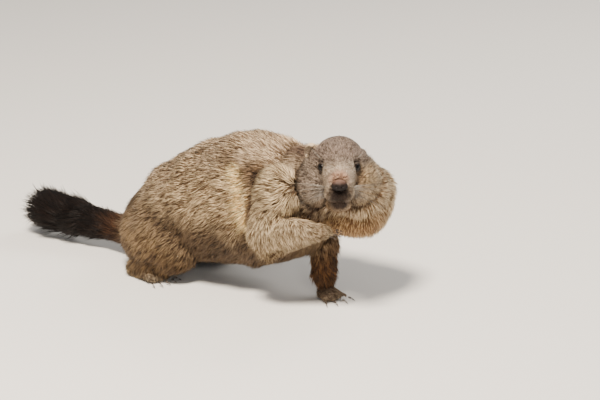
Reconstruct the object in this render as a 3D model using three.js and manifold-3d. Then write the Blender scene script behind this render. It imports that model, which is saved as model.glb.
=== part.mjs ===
// Life-size alpine marmot, crouched on the ground with its head turned to its right and its right forepaw
// raised to the mouth. Millimetres: +X towards the chest, +Y to the animal's left, +Z up, ground at Z = 0.
// Dense cores carry flat locks that reach out to the tips of the coat. Every part is its own closed body,
// a small gap from the next.

import * as THREE from 'three';
import { LoftGeometry } from 'three/addons/geometries/LoftGeometry.js';
import { mergeVertices } from 'three/addons/utils/BufferGeometryUtils.js';
import Module from 'manifold-3d';

const wasm = await Module();
wasm.setup();

// Driving dimensions
const DEG = Math.PI / 180;
const GAP = 0.4;
const LOCK_GAP = 0.9;
const GROUND_SLAB = 400;
const EYE_SPACING = 37;
const EYE_RADIUS = 7;
const LID_THICKNESS = 1.6;
const EYE_MIDPOINT = new THREE.Vector3(164.2, -38.6, 190.7);
const HEAD_TURN = -56 * DEG;
const HEAD_RAISE = 7 * DEG;
const CLAW_LENGTH = 10;
const CLAW_RADIUS = 1.7;
const LOCK_SINK = 2.5;
const LOCK_THICKNESS = 3.6;
const LOCK_TIP_RISE = 1.2;
const FRINGE_RADIUS = 40;
const FRINGE_FRONT = 245;
const FRINGE_BACK = 285;
const LOCK_SEED = 7;
const LOCK_VARIATION = 0.15;
const LOCK_STEPS = [0, 0.3, 0.68, 1];
const LOCK_WIDTHS = [0.8, 1, 0.72, 0.05];

const UP = new THREE.Vector3(0, 0, 1);
const FORWARD = new THREE.Vector3(1, 0, 0);
const BROAD_CAP = [30 * DEG, 58 * DEG, 80 * DEG];
const SMALL_CAP = [38 * DEG, 72 * DEG];
const DIGIT_CAP = [55 * DEG];
const DOME_LIMIT = 0.985;

const COLOUR = {
	back: 0x8f8270,
	neck: 0xa39377,
	head: 0x82776a,
	jaw: 0x9a8c74,
	skin: 0x1d1917,
	eye: 0x0c0908,
	ear: 0x9c8d78,
	foreleg: 0xa8987b,
	darkLeg: 0x4a3626,
	foot: 0x8a7c68,
	tail: 0x2b1f18,
	claw: 0x2a2420,
};

// A station of a body form: its centre and the half width and half height of the section there.
function station(x, y, z, wide, high) {
	return { at: new THREE.Vector3(x, y, z), wide, high };
}

// The section of a form at t, from 0 at its first station to 1 at its last, or a little past them on its rounded
// ends: centre, axes and half sizes.
function sectionOf(form, t) {
	const inside = THREE.MathUtils.clamp(t, 0, 1);
	const along = form.path.getTangent(inside);
	const across = new THREE.Vector3().crossVectors(form.up ?? UP, along).normalize();
	const rise = new THREE.Vector3().crossVectors(along, across);
	const radii = form.size.getPoint(inside);
	const past = (t - inside) * form.span;
	const dome = past < 0 ? form.startDome : form.endDome;
	const share = Math.sqrt(1 - Math.min(Math.abs(past) / dome, DOME_LIMIT) ** 2);
	const centre = form.path.getPoint(inside).addScaledVector(along, past);
	return { centre, along, across, rise, wide: radii.x * share, high: radii.y * share };
}

// A point on a section at an angle, 0 on the left and a quarter turn at the top, at a height over the form.
function pointOf(section, angle, height = 0) {
	return section.centre.clone()
		.addScaledVector(section.across, Math.cos(angle) * (section.wide + height))
		.addScaledVector(section.rise, Math.sin(angle) * (section.high + height));
}

// A form: elliptical sections through its stations, and a rounded end of its own length at each end.
function makeForm(settings) {
	const path = new THREE.CatmullRomCurve3(settings.stations.map((s) => s.at));
	const halfSizes = settings.stations.map((s) => new THREE.Vector3(s.wide, s.high, 0));
	const size = new THREE.CatmullRomCurve3(halfSizes);
	return { cap: BROAD_CAP, coat: 0, ...settings, path, size, span: path.getLength() };
}

// The closed body of a form, with all its surface moved out by grow
function loftBody(form, grow = 0) {
	const sections = [];
	const addRing = (t, turn, outward) => {
		const section = sectionOf(form, t);
		const shift = section.along.clone().multiplyScalar(outward * grow * Math.sin(turn));
		const ring = [];
		for (let i = 0; i < form.sides; i++) {
			const angle = (i / form.sides) * Math.PI * 2;
			ring.push(pointOf(section, angle, grow * Math.cos(turn)).add(shift));
		}
		sections.push(ring);
	};
	for (const turn of [...form.cap].reverse()) {
		addRing((-Math.sin(turn) * form.startDome) / form.span, turn, -1);
	}
	for (let i = 0; i <= form.rings; i++) {
		addRing(i / form.rings, 0, 0);
	}
	for (const turn of form.cap) {
		addRing(1 + (Math.sin(turn) * form.endDome) / form.span, turn, 1);
	}
	return solid(new LoftGeometry(sections, { capStart: true, capEnd: true }));
}

// The dense core under a coat reaches half way from the skin to the tips.
function coreBody(form, grow = 0) {
	return loftBody(form, grow - form.coat / 2);
}

// A closed ellipsoid with its own axes, turned so that its local X points along the given direction.
function ellipsoid(centre, radii, facing, detail) {
	const geometry = new THREE.SphereGeometry(1, detail, Math.round(detail * 0.75));
	geometry.rotateX(Math.PI / 2);
	geometry.scale(radii.x, radii.y, radii.z);
	return solid(geometry.applyMatrix4(poseMatrix(centre, facing)));
}

// The matrix that turns local X to the facing direction, keeps local Z near up and moves to the centre.
function poseMatrix(centre, facing, up = UP) {
	const forward = facing.clone().normalize();
	const left = new THREE.Vector3().crossVectors(up, forward).normalize();
	const rise = new THREE.Vector3().crossVectors(forward, left);
	return new THREE.Matrix4().makeBasis(forward, left, rise).setPosition(centre);
}

// A manifold solid from a closed three.js geometry.
function solid(geometry) {
	geometry.deleteAttribute('normal');
	geometry.deleteAttribute('uv');
	const merged = mergeVertices(geometry, 1e-4);
	const mesh = new wasm.Mesh({
		numProp: 3,
		vertProperties: new Float32Array(merged.attributes.position.array),
		triVerts: new Uint32Array(merged.index.array),
	});
	return new wasm.Manifold(mesh);
}

function join(solids) {
	return solids.reduce((all, one) => all.add(one));
}

function cut(body, tools) {
	return tools.reduce((rest, tool) => rest.subtract(tool), body);
}

// The largest closed surface of a solid, so that no loose scrap is left after a cut.
function largest(body) {
	const pieces = body.decompose();
	return pieces.reduce((best, piece) => (piece.volume() > best.volume() ? piece : best));
}

// A box under the ground plane, which leaves a flat sole on what it cuts.
function groundBlock() {
	const geometry = new THREE.BoxGeometry(GROUND_SLAB * 2, GROUND_SLAB * 2, GROUND_SLAB);
	return solid(geometry.translate(0, 0, -GROUND_SLAB / 2));
}

// Head frame: forward along the face, left of the animal, and up, measured from between the eyes.
const FACE_FORWARD = new THREE.Vector3(
	Math.cos(HEAD_TURN) * Math.cos(HEAD_RAISE),
	Math.sin(HEAD_TURN) * Math.cos(HEAD_RAISE),
	Math.sin(HEAD_RAISE),
);
const HEAD_MATRIX = poseMatrix(EYE_MIDPOINT, FACE_FORWARD);
const HEAD_UP = new THREE.Vector3().setFromMatrixColumn(HEAD_MATRIX, 2);

function onHead(forward, left, up) {
	return new THREE.Vector3(forward, left, up).applyMatrix4(HEAD_MATRIX);
}

function headDirection(forward, left, up) {
	return new THREE.Vector3(forward, left, up).transformDirection(HEAD_MATRIX);
}

function headStation(forward, up, wide, high) {
	return { at: onHead(forward, 0, up), wide, high };
}

// Trunk from the rump to the shoulders
const TORSO = makeForm({
	stations: [
		station(-160, 0, 44, 44, 40),
		station(-134, 0, 59, 64, 55),
		station(-100, 0, 75, 79, 71),
		station(-55, 0, 95, 86, 81),
		station(-10, 0, 107, 85, 87),
		station(35, 0, 113, 79, 85),
		station(75, 0, 116, 71, 72),
		station(105, 0, 124, 58, 52),
	],
	rings: 11,
	sides: 20,
	startDome: 20,
	endDome: 25,
	coat: 16,
});

// Thick neck and breast, bulging on the outer side of the turn
const NECK = makeForm({
	stations: [
		station(82, 2, 138, 54, 54),
		station(112, 7, 140, 61, 56),
		station(150, 15, 137, 60, 57),
		station(184, 23, 130, 46, 46),
	],
	rings: 5,
	sides: 16,
	startDome: 20,
	endDome: 20,
	coat: 16,
});

const SKULL = makeForm({
	stations: [
		headStation(-52, -2, 33, 32),
		headStation(-34, -6, 40, 43),
		headStation(-16, -7.5, 36, 42.5),
		headStation(0, -12, 24, 36.5),
		headStation(16, -17, 19, 28),
		headStation(32, -20, 16.5, 21),
	],
	rings: 8,
	sides: 20,
	startDome: 14,
	endDome: 12,
	up: HEAD_UP,
});

const JAW = makeForm({
	stations: [
		headStation(-2, -46, 17, 10),
		headStation(16, -43.5, 14, 9),
		headStation(32, -40, 9.5, 6.5),
	],
	rings: 3,
	sides: 10,
	startDome: 8,
	endDome: 6,
	up: HEAD_UP,
});

// Bushy tail, laid straight back on the ground
const TAIL = makeForm({
	stations: [
		station(-176, 0, 20, 15, 16),
		station(-212, 0, 21, 19, 20),
		station(-256, 0, 27, 26, 27),
		station(-304, 0, 33, 31.5, 33.5),
		station(-336, 0, 33.5, 24, 28),
	],
	rings: 7,
	sides: 14,
	startDome: 12,
	endDome: 16,
	coat: 22,
});

// Cheeks, brows and the two whisker pads, on both sides of the head
function faceForms(grow = 0) {
	const radii = (x, y, z) => new THREE.Vector3(x + grow, y + grow, z + grow);
	const forms = [];
	for (const side of [-1, 1]) {
		forms.push(ellipsoid(onHead(-25, side * 24, -24), radii(28, 24, 27), FACE_FORWARD, 12));
		forms.push(ellipsoid(onHead(-6, side * 18, 10), radii(12, 8, 5), FACE_FORWARD, 8));
		forms.push(ellipsoid(onHead(32, side * 8.5, -25.5), radii(13, 10.5, 10.5), FACE_FORWARD, 10));
	}
	return forms;
}

function headForm(grow = 0) {
	return join([loftBody(SKULL, grow), ...faceForms(grow)]);
}

function eyeCentre(side) {
	return onHead(-0.5, (side * EYE_SPACING) / 2, 0);
}

function eyeDirection(side) {
	return headDirection(0.72, side * 0.67, 0.16);
}

function eyeForm(side, grow = 0) {
	const radius = EYE_RADIUS + grow;
	return ellipsoid(eyeCentre(side), new THREE.Vector3(radius, radius, radius), eyeDirection(side), 10);
}

// Upper and lower eyelid, as one oval rim round the opening of the eye
function lidForm(side) {
	const rim = new THREE.TorusGeometry(EYE_RADIUS * 0.89, LID_THICKNESS, 5, 11);
	rim.rotateY(Math.PI / 2);
	rim.scale(1, 1.05, 0.82);
	const centre = eyeCentre(side).addScaledVector(eyeDirection(side), EYE_RADIUS * 0.72);
	return solid(rim.applyMatrix4(poseMatrix(centre, eyeDirection(side))));
}

function noseForm(grow = 0) {
	const radii = new THREE.Vector3(7 + grow, 9.3 + grow, 7 + grow);
	const pad = ellipsoid(onHead(43, 0, -15), radii, FACE_FORWARD, 10);
	if (grow > 0) {
		return pad;
	}
	const opening = new THREE.Vector3(3.2, 2.2, 1.6);
	const nostrils = [-1, 1].map((side) => (
		ellipsoid(onHead(49, side * 4.6, -14.5), opening, headDirection(0.7, side * 0.7, 0), 6)
	));
	return cut(pad, nostrils);
}

// A small round ear whose cup opens forwards and outwards
function earForm(side, grow = 0) {
	const centre = onHead(-36, side * 33.5, 13);
	const facing = headDirection(0.86, side * 0.5, 0.1);
	const shell = ellipsoid(centre, new THREE.Vector3(4.2 + grow, 9.5 + grow, 11 + grow), facing, 12);
	if (grow > 0) {
		return shell;
	}
	const cupCentre = centre.clone().addScaledVector(facing, 4);
	const cup = ellipsoid(cupCentre, new THREE.Vector3(4.4, 6.6, 8), facing, 10);
	return shell.subtract(cup);
}

// One limb part, through a few stations, with ends as round as the limb is thick
function limbForm(stations, settings = {}) {
	const first = stations[0];
	const last = stations[stations.length - 1];
	const along = new THREE.Vector3().subVectors(last.at, first.at).normalize();
	return makeForm({
		stations,
		rings: stations.length,
		sides: 12,
		cap: SMALL_CAP,
		startDome: Math.min(first.wide, first.high) * 0.9,
		endDome: Math.min(last.wide, last.high) * 0.9,
		up: Math.abs(along.z) > 0.8 ? FORWARD : UP,
		...settings,
	});
}

// Raised right foreleg
const RIGHT_UPPER_ARM = limbForm(
	[station(88, -50, 150, 30, 32), station(80, -62, 118, 28, 30), station(76, -70, 94, 22, 26)],
	{ coat: 12 },
);
const RIGHT_FOREARM = limbForm(
	[station(76, -73, 97, 21, 27), station(104, -69, 104, 18, 24), station(132, -59, 109, 14.5, 17)],
	{ coat: 6 },
);
const RIGHT_PALM = [station(138, -55, 107, 12, 11), station(151, -51, 109, 12.5, 10)];

// Standing left foreleg
const LEFT_UPPER_ARM = limbForm(
	[station(92, 48, 140, 28, 30), station(88, 44, 112, 27, 29), station(88, 38, 90, 22, 24)],
	{ coat: 12 },
);
const LEFT_FOREARM = limbForm(
	[station(90, 34, 84, 20, 22), station(104, 20, 54, 20, 20), station(114, 6, 24, 17, 16)],
	{ coat: 8 },
);
const LEFT_PALM = [station(117, 4, 7.5, 13, 9), station(130, -1, 6.5, 15, 8)];

// Crouched hind leg, on the side given by the sign
function thighForm(side) {
	const stations = [
		station(-138, side * 40, 50, 34, 44),
		station(-104, side * 48, 58, 42, 54),
		station(-66, side * 52, 56, 34, 46),
	];
	return limbForm(stations, { rings: 4, coat: 12 });
}

function shankForm(side) {
	const stations = [
		station(-70, side * 60, 34, 15, 17),
		station(-100, side * 62, 24, 14, 16),
		station(-128, side * 60, 16, 12, 13),
	];
	return limbForm(stations, { sides: 10 });
}

function hindFootStations(side) {
	return [
		station(-140, side * 58, 8, 11, 9.5),
		station(-115, side * 62, 7.5, 12, 9.5),
		station(-96, side * 67, 6.5, 16.5, 8),
	];
}

// One digit with a knuckle, from its root to its tip
function digitBody({ root, tip, radius }, grow = 0) {
	const knuckle = root.clone().lerp(tip, 0.5).add(new THREE.Vector3(0, 0, radius * 0.6));
	const stations = [root, knuckle, tip].map((at, i) => ({
		at,
		wide: radius * (1 - i * 0.1),
		high: radius * (1 - i * 0.12),
	}));
	return loftBody(limbForm(stations, { sides: 5, rings: 2, cap: DIGIT_CAP }), grow);
}

// Roots and tips of a foot's digits, fanned out from the last section of its palm
function digits({ palm, heading, count, fan, length, radius, drop }) {
	const base = palm[palm.length - 1];
	const across = new THREE.Vector3().crossVectors(UP, heading).normalize();
	const list = [];
	for (let i = 0; i < count; i++) {
		const place = count > 1 ? (i / (count - 1)) * 2 - 1 : 0;
		const direction = heading.clone().applyAxisAngle(UP, place * fan);
		const reach = length * (1 - 0.2 * place * place);
		const root = base.at.clone().addScaledVector(across, place * base.wide * 0.82);
		const tip = root.clone().addScaledVector(direction, reach);
		tip.z += drop;
		list.push({ root, tip, direction, radius });
	}
	return list;
}

function clawBody(digit, grow = 0) {
	const stations = [0, 0.5, 1].map((t) => {
		const at = digit.tip.clone().addScaledVector(digit.direction, CLAW_LENGTH * t);
		at.z += digit.radius * 0.35 - t * t * digit.radius * 0.7;
		const radius = CLAW_RADIUS * (1 - 0.72 * t);
		return { at, wide: radius * 0.8, high: radius };
	});
	return loftBody(makeForm({ stations, rings: 2, sides: 5, startDome: 1, endDome: 1, cap: [] }), grow);
}

const FOREFOOT = { count: 4, fan: 0.4, length: 16, radius: 4, drop: -3.5 };
const HINDFOOT = { count: 5, fan: 0.34, length: 19, radius: 3.7, drop: -3.2 };
const HANDFUL = { count: 4, fan: 0.24, length: 14, radius: 3.7, drop: -2 };

// The way a foot points, as an angle from straight ahead towards the left
function heading(angle) {
	return FORWARD.clone().applyAxisAngle(UP, angle * DEG);
}

const FEET = {
	right_forepaw: { palm: RIGHT_PALM, ...HANDFUL, heading: heading(18) },
	left_forefoot: { palm: LEFT_PALM, ...FOREFOOT, heading: heading(-22) },
	right_hindfoot: { palm: hindFootStations(-1), ...HINDFOOT, heading: heading(-13) },
	left_hindfoot: { palm: hindFootStations(1), ...HINDFOOT, heading: heading(13) },
};

function footBody(foot, grow = 0) {
	const palm = loftBody(limbForm(foot.palm, { sides: 8, rings: foot.palm.length - 1 }), grow);
	return join([palm, ...digits(foot).map((digit) => digitBody(digit, grow))]);
}

// Seeded random numbers from 0 to 1, the same in every run
let randomState = LOCK_SEED;
function random() {
	randomState = (randomState * 1664525 + 1013904223) % 4294967296;
	return randomState / 4294967296;
}

// A value, varied as hair varies
function varied(value, share = LOCK_VARIATION) {
	return value * (1 + (random() * 2 - 1) * share);
}

// One flat lock through its spots, each with a place, the direction out of the coat and the radius of the body
// there. Its sections are low triangles whose edges follow that radius, and a grown one keeps a gap on all sides.
function lockBody({ spots, width }, grow = 0) {
	const last = spots.length - 1;
	const sections = spots.map(({ at, out, round }, i) => {
		const before = spots[Math.max(i - 1, 0)].at;
		const after = spots[Math.min(i + 1, last)].at;
		const along = new THREE.Vector3().subVectors(after, before).normalize();
		const across = new THREE.Vector3().crossVectors(out, along).normalize();
		const bare = LOCK_WIDTHS[i] * width * 0.5;
		const sag = (bare * bare) / (round * 2);
		const high = LOCK_WIDTHS[i] * LOCK_THICKNESS + sag + grow * 2;
		const half = (bare + grow) / (1 - grow / high);
		const past = { 0: -grow, [last]: grow }[i] ?? 0;
		const under = at.clone().addScaledVector(out, -grow - sag).addScaledVector(along, past);
		const ridge = under.clone().addScaledVector(out, high);
		return [under.clone().addScaledVector(across, half), ridge, under.clone().addScaledVector(across, -half)];
	});
	return solid(new LoftGeometry(sections, { capStart: true, capEnd: true }));
}

// Staggered rows of locks on a form. Each follows the surface along the form and down its sides, from its root
// sunk in the core to its tip at the coat's full height.
function coatLocks(form, { rows, around, start, end, from, to, length, width, droop, way = -1 }) {
	const locks = [];
	const core = -form.coat / 2;
	for (let row = 0; row < rows; row++) {
		for (let i = 0; i < around; i++) {
			const shareAlong = rows > 1 ? row / (rows - 1) : 0.5;
			const shareAround = (i + 0.25 + (row % 2) * 0.5) / around;
			const t = THREE.MathUtils.lerp(start, end, shareAlong) * varied(1, 0.03);
			const angle = THREE.MathUtils.lerp(from, to, shareAround) * DEG * varied(1, 0.03);
			const reach = varied(length);
			const lean = varied(droop);
			const here = sectionOf(form, t);
			const along = (way * reach * Math.cos(lean)) / form.span;
			const down = (-Math.cos(angle) * reach * Math.sin(lean)) / Math.max(here.high, here.wide);
			const tip = varied(LOCK_TIP_RISE, 0.6);
			const spots = LOCK_STEPS.map((step) => {
				const section = sectionOf(form, t + along * step);
				const turned = angle + down * step;
				const height = THREE.MathUtils.lerp(core - LOCK_SINK, tip, step ** 0.8);
				const at = pointOf(section, turned, height);
				const out = pointOf(section, turned, height + 1).sub(at).normalize();
				return { at, out, round: (section.wide + section.high) / 2 };
			});
			locks.push({ spots, width: varied(width) });
		}
	}
	return locks;
}

// Long locks that hang from the underside of a form, side by side, as on the elbow
function fringeLocks(form, { count, start, end, hang, out, length, width }) {
	const locks = [];
	for (let i = 0; i < count; i++) {
		const t = THREE.MathUtils.lerp(start, end, (i + 0.5) / count);
		const angle = (i % 2 === 0 ? FRINGE_FRONT : FRINGE_BACK) * DEG;
		const root = pointOf(sectionOf(form, t), angle, -form.coat / 2 - LOCK_SINK);
		const reach = varied(length);
		const spots = LOCK_STEPS.map((step) => {
			const at = root.clone().addScaledVector(hang, reach * step);
			return { at, out, round: FRINGE_RADIUS };
		});
		locks.push({ spots, width });
	}
	return locks;
}

const RIGHT_OUT = new THREE.Vector3(0.2, -1, 0).normalize();
const ELBOW_HANG = new THREE.Vector3(-0.3, -0.12, -1).normalize();

const TORSO_LOCKS = [
	...coatLocks(TORSO, {
		rows: 5, around: 7, start: 0.14, end: 0.9, from: -80, to: 260, length: 50, width: 46, droop: 25 * DEG,
	}),
	...coatLocks(TORSO, {
		rows: 1, around: 5, start: -0.01, end: -0.01, from: -20, to: 200, length: 26, width: 26, droop: 60 * DEG,
	}),
];
const NECK_LOCKS = coatLocks(NECK, {
	rows: 3, around: 5, start: 0.42, end: 1.05, from: -80, to: 220, length: 34, width: 38, droop: 40 * DEG,
});
const TAIL_LOCKS = [
	...coatLocks(TAIL, {
		rows: 4, around: 4, start: 0.14, end: 0.8, from: -60, to: 240, length: 34, width: 18, droop: 0, way: 1,
	}),
	...coatLocks(TAIL, {
		rows: 1, around: 4, start: 1, end: 1, from: -30, to: 210, length: 19, width: 16, droop: 0, way: 1,
	}),
];
const RIGHT_UPPER_ARM_LOCKS = coatLocks(RIGHT_UPPER_ARM, {
	rows: 3, around: 3, start: 0, end: 0.85, from: 75, to: 255, length: 28, width: 23, droop: 0, way: 1,
});
const LEFT_UPPER_ARM_LOCKS = coatLocks(LEFT_UPPER_ARM, {
	rows: 2, around: 2, start: 0.2, end: 0.75, from: -60, to: 75, length: 28, width: 24, droop: 0, way: 1,
});
const RIGHT_FOREARM_LOCKS = fringeLocks(RIGHT_FOREARM, {
	count: 6, start: -0.1, end: 0.75, hang: ELBOW_HANG, out: RIGHT_OUT, length: 20, width: 14,
});
const LEFT_FOREARM_LOCKS = coatLocks(LEFT_FOREARM, {
	rows: 2, around: 3, start: 0.3, end: 0.75, from: -60, to: 250, length: 22, width: 18, droop: 0, way: 1,
});

function thighLocks(thigh, side) {
	const middle = side > 0 ? 0 : 180;
	return coatLocks(thigh, {
		rows: 3, around: 2, start: 0.2, end: 0.9, from: middle - 70, to: middle + 45,
		length: 34, width: 30, droop: 50 * DEG,
	});
}

// Assembly: cores are cut by the slightly grown cores that they meet, and locks by all grown cores and by the
// grown locks made before them
const ground = groundBlock();
const group = new THREE.Group();
const coatInPlace = [];

function addPart(name, colour, body) {
	const mesh = largest(body.subtract(ground)).getMesh();
	const geometry = new THREE.BufferGeometry();
	geometry.setAttribute('position', new THREE.BufferAttribute(mesh.vertProperties, 3));
	geometry.setIndex(new THREE.BufferAttribute(mesh.triVerts, 1));
	const material = new THREE.MeshStandardMaterial({ color: colour, roughness: 0.9, metalness: 0 });
	const part = new THREE.Mesh(geometry, material);
	part.name = name;
	group.add(part);
}

function addFurred(name, colour, { core, inFront, around, locks }) {
	const shaped = cut(core, inFront);
	const obstacles = [...inFront, ...around, ...coatInPlace];
	const hair = cut(join(locks.map((lock) => lockBody(lock))), obstacles);
	coatInPlace.push(join(locks.map((lock) => lockBody(lock, LOCK_GAP))));
	addPart(name, colour, shaped.add(hair));
}

const grownEyes = [eyeForm(-1, GAP), eyeForm(1, GAP)];
const grownJaw = loftBody(JAW, GAP);
const grownNose = noseForm(GAP);
const grownHead = headForm(GAP);
const grownEars = [earForm(-1, GAP), earForm(1, GAP)];
const grownNeck = coreBody(NECK, GAP);
const grownTorso = coreBody(TORSO, GAP);
const grownTail = coreBody(TAIL, GAP);
const grownRightUpperArm = coreBody(RIGHT_UPPER_ARM, GAP);
const grownRightForearm = coreBody(RIGHT_FOREARM, GAP);
const grownLeftUpperArm = coreBody(LEFT_UPPER_ARM, GAP);
const grownLeftForearm = coreBody(LEFT_FOREARM, GAP);
const sides = [[-1, 'right'], [1, 'left']];
const thighs = sides.map(([side]) => thighForm(side));
const shanks = sides.map(([side]) => shankForm(side));
const grownThighs = thighs.map((thigh) => coreBody(thigh, GAP));
const grownShanks = shanks.map((shank) => coreBody(shank, GAP));
const grownFeet = {};
for (const [name, foot] of Object.entries(FEET)) {
	grownFeet[name] = footBody(foot, GAP);
}

for (const [side, name] of sides) {
	addPart(`eye_${name}`, COLOUR.eye, eyeForm(side));
	addPart(`ear_${name}`, COLOUR.ear, earForm(side).subtract(grownHead));
}
addPart('nose', COLOUR.skin, noseForm());
addPart('lower_jaw', COLOUR.jaw, loftBody(JAW));
const headWithLids = join([headForm(), lidForm(-1), lidForm(1)]);
addPart('head', COLOUR.head, cut(headWithLids, [...grownEyes, grownJaw, grownNose]));

const headSolids = [grownHead, grownJaw, ...grownEars];
const forelegs = [grownRightUpperArm, grownRightForearm, grownLeftUpperArm, grownLeftForearm];
const feet = Object.values(grownFeet);
addFurred('neck', COLOUR.neck, {
	core: coreBody(NECK),
	inFront: headSolids,
	around: [grownTorso, ...forelegs, ...feet],
	locks: NECK_LOCKS,
});
addFurred('right_upper_arm', COLOUR.foreleg, {
	core: cut(coreBody(RIGHT_UPPER_ARM), [grownTorso]),
	inFront: [...headSolids, grownNeck],
	around: [grownTorso, grownRightForearm],
	locks: RIGHT_UPPER_ARM_LOCKS,
});
addFurred('right_forearm', COLOUR.foreleg, {
	core: coreBody(RIGHT_FOREARM),
	inFront: [grownTorso, grownNeck, grownRightUpperArm, ...headSolids],
	around: [grownFeet.right_forepaw],
	locks: RIGHT_FOREARM_LOCKS,
});
addFurred('left_upper_arm', COLOUR.neck, {
	core: coreBody(LEFT_UPPER_ARM),
	inFront: [grownTorso, grownNeck, ...headSolids],
	around: [grownLeftForearm],
	locks: LEFT_UPPER_ARM_LOCKS,
});
addFurred('left_forearm', COLOUR.darkLeg, {
	core: coreBody(LEFT_FOREARM),
	inFront: [grownTorso, grownNeck, grownLeftUpperArm],
	around: [grownFeet.left_forefoot],
	locks: LEFT_FOREARM_LOCKS,
});
addFurred('torso', COLOUR.back, {
	core: coreBody(TORSO),
	inFront: [grownNeck, grownHead],
	around: [...forelegs, ...grownThighs, ...grownShanks, grownTail, ...feet],
	locks: TORSO_LOCKS,
});
addFurred('tail', COLOUR.tail, {
	core: coreBody(TAIL),
	inFront: [grownTorso],
	around: grownThighs,
	locks: TAIL_LOCKS,
});
sides.forEach(([side, name], i) => {
	addFurred(`${name}_thigh`, COLOUR.back, {
		core: coreBody(thighs[i]),
		inFront: [grownTorso],
		around: [grownShanks[i], grownTail, ...feet],
		locks: thighLocks(thighs[i], side),
	});
	addPart(`${name}_shank`, COLOUR.back, cut(coreBody(shanks[i]), [grownTorso, grownThighs[i]]));
});

const legsAbove = {
	right_forepaw: [grownRightForearm, grownNeck],
	left_forefoot: [grownLeftForearm],
	right_hindfoot: [grownTorso, grownThighs[0], grownShanks[0]],
	left_hindfoot: [grownTorso, grownThighs[1], grownShanks[1]],
};
for (const [name, foot] of Object.entries(FEET)) {
	const claws = digits(foot);
	const grownClaws = claws.map((digit) => clawBody(digit, GAP));
	addPart(name, COLOUR.foot, cut(footBody(foot), [...legsAbove[name], ...grownClaws]));
	claws.forEach((digit, i) => addPart(`${name}_claw_${i + 1}`, COLOUR.claw, clawBody(digit)));
}

// The origin is on the ground, under the middle of the whole body's box
const box = new THREE.Box3().setFromObject(group);
const middle = box.getCenter(new THREE.Vector3());
group.position.set(-middle.x, -middle.y, -box.min.z);

export default group;
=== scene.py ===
# Dresses a life-size alpine marmot: one skin under a coat of solid tufts, with eyes, lids, nose, claws and
# whiskers. Metres, in the frame's own axes: +X towards the chest, +Y to the animal's left, +Z up.
import math

import bmesh
import bpy
import numpy as np
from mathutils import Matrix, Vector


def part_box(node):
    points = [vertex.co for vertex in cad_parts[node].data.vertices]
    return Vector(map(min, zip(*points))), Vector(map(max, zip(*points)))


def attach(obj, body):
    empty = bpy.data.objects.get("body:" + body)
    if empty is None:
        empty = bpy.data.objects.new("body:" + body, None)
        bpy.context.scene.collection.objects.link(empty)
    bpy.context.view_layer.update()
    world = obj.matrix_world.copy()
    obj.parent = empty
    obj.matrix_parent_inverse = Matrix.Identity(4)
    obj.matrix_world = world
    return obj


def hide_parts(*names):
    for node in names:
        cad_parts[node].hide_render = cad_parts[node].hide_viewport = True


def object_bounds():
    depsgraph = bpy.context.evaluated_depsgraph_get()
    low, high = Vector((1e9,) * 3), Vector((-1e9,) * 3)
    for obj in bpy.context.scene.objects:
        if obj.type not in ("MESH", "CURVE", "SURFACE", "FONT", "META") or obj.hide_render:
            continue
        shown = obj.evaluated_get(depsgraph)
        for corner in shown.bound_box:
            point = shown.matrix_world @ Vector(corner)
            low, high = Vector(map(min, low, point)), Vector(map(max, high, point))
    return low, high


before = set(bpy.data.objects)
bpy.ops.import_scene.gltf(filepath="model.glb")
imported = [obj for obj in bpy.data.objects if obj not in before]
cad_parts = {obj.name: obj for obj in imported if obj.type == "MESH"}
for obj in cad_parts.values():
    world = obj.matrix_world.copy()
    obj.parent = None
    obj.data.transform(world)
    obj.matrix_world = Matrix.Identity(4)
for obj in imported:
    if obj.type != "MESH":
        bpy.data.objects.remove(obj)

import openvdb
from mathutils import Matrix, Vector, kdtree

cad_box = [list(corner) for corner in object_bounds()]

MM = 0.001
SEED = 11
VOXEL = 1.25 * MM
BAND = 14
GAP_CLOSED = 0.6 * MM
MARGIN = 20 * MM

# The coat of each node of flesh, in millimetres: how deep the skin lies in the solid, then the length and
# width of its tufts and how high they stand over the skin. Density is how thickly they grow next to those of
# the other nodes, and COAT_TUFTS is their number in all
COAT_ROWS = {
    "torso": (7, 21, 1.2, 12.5, 0.42),
    "neck": (7, 22, 1.1, 13.5, 0.5),
    "head": (3, 6.5, 0.52, 2.8, 1.9),
    "lower_jaw": (2.2, 5.5, 0.5, 2.2, 1.8),
    "ear_right": (0.7, 3.5, 0.4, 1.1, 2.2),
    "ear_left": (0.7, 3.5, 0.4, 1.1, 2.2),
    "right_upper_arm": (5, 20, 1.05, 10, 0.55),
    "left_upper_arm": (5, 20, 1.1, 10, 0.4),
    "right_forearm": (3, 13, 0.8, 5, 0.85),
    "left_forearm": (4, 17, 1.0, 7.5, 0.5),
    "right_forepaw": (0.8, 5, 0.5, 1.2, 1.2),
    "left_forefoot": (0.8, 5, 0.6, 1.2, 1.0),
    "right_thigh": (6, 21, 1.2, 11.5, 0.42),
    "left_thigh": (6, 21, 1.2, 11.5, 0.34),
    "right_shank": (4, 18, 1.0, 6.5, 0.5),
    "left_shank": (4, 18, 1.0, 6.5, 0.4),
    "right_hindfoot": (0.8, 6, 0.7, 1.3, 0.6),
    "left_hindfoot": (0.8, 6, 0.7, 1.3, 0.5),
    "tail": (11, 44, 1.3, 20, 1.3),
}
COAT_KEYS = ("depth", "length", "width", "height", "density")
COAT = {name: dict(zip(COAT_KEYS, row)) for name, row in COAT_ROWS.items()}
FLESH = list(COAT)
EARS = ["ear_right", "ear_left"]
FINE_NODES = [
    "head", "lower_jaw", "ear_right", "ear_left", "right_forepaw", "left_forefoot", "right_hindfoot",
    "left_hindfoot",
]
BROAD_NODES = ["torso", "neck", "right_thigh", "left_thigh", "right_upper_arm", "left_upper_arm"]


def middle(node):
    """The middle of a node's box."""
    low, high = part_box(node)
    return (Vector(low) + Vector(high)) / 2


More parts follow.
